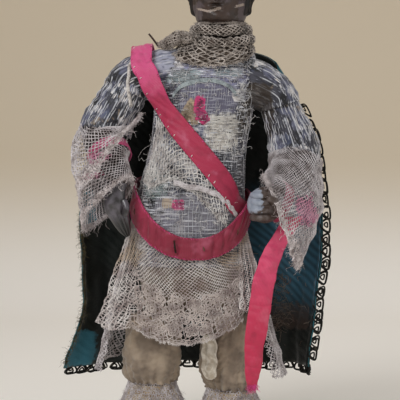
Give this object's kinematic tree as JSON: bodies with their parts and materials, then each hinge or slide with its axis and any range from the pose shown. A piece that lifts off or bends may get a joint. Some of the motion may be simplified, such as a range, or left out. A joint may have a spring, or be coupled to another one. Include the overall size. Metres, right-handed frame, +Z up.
{
  "type": "costumed doll",
  "caption": "Standing costumed doll with a stuffed body, modelled head and hands, brocade tunic, lace cuffs and apron, silk sash and lined cape; the head turns and the arms swing.",
  "frame": {"origin": "The middle of the doll's box, on the surface that its soles stand on.", "axes": "+Z up through the head, the doll faces -Y, and its own left side is at +X."},
  "size_m": [0.153, 0.0886, 0.2995],
  "materials": {
    "brocade": "woven brocade, worn",
    "stuffing": "plain stuffed cloth",
    "net_lace": "open net, aged",
    "floral_lace": "lace, aged",
    "pink_silk": "silk ribbon",
    "cape_silk": "silk, creased",
    "cape_lining": "dull cloth, frayed",
    "cape_trim": "looped braid",
    "breeches_cloth": "gathered cotton, aged",
    "dark_skin": "worn paint over a modelled form",
    "shoe": "worn",
    "dowel": "bare",
    "pin": "tarnished"
  },
  "bodies": {
    "figure": {"apron": "floral_lace", "belt": "pink_silk", "belt_pin": "pin", "breeches_tab": "breeches_cloth", "cape_lining": "cape_lining", "cape_outer": "cape_silk", "cape_trim": "cape_trim", "chest_lace": "net_lace", "collar_bunch": "floral_lace", "collar_lower": "floral_lace", "collar_upper": "floral_lace", "left_breeches": "breeches_cloth", "left_knee_ruffle": "floral_lace", "left_shin": "dark_skin", "left_shoe": "shoe", "left_shoulder_dowel": "dowel", "left_sole": "shoe", "left_thigh": "stuffing", "left_underskirt": "net_lace", "neck_dowel": "dowel", "right_breeches": "breeches_cloth", "right_knee_ruffle": "floral_lace", "right_shin": "dark_skin", "right_shoe": "shoe", "right_shoulder_dowel": "dowel", "right_sole": "shoe", "right_thigh": "stuffing", "right_underskirt": "net_lace", "sash": "pink_silk", "shoulder_pin": "pin", "side_lace": "net_lace", "torso_core": "stuffing", "tunic": "brocade", "waist_ruffle": "floral_lace"},
    "head": {"head": "dark_skin"},
    "right_arm": {"right_arm_core": "stuffing", "right_sleeve": "brocade", "right_cuff": "net_lace", "right_inner_cuff": "net_lace", "right_hand": "dark_skin", "right_wrist_ribbon": "pink_silk"},
    "left_arm": {"left_arm_core": "stuffing", "left_sleeve": "brocade", "left_cuff": "net_lace", "left_hand": "dark_skin", "left_wrist_ribbon": "pink_silk"},
    "streamer": {"streamer": "pink_silk"}
  },
  "joints": [
    {"name": "head_turn", "type": "hinge", "parent": "figure", "child": "head", "pos_m": [0.01444, -0.00279, 0.242], "axis": [0, 0, 1], "range_deg": [-30, 30]},
    {"name": "right_arm_swing", "type": "hinge", "parent": "figure", "child": "right_arm", "pos_m": [-0.03586, -0.00179, 0.221], "axis": [-1, 0, 0], "range_deg": [0, 35]},
    {"name": "left_arm_swing", "type": "hinge", "parent": "figure", "child": "left_arm", "pos_m": [0.04614, -0.00179, 0.212], "axis": [-1, 0, 0], "range_deg": [0, 35]},
    {"name": "streamer_hang", "type": "hinge", "parent": "left_arm", "child": "streamer", "pos_m": [0.04692, -0.02853, 0.12809], "axis": [-1, 0, 0], "range_deg": [-35, 0]}
  ],
  "couplings": [
    {"joint": "streamer_hang", "follows": "left_arm_swing", "ratio": -1}
  ]
}
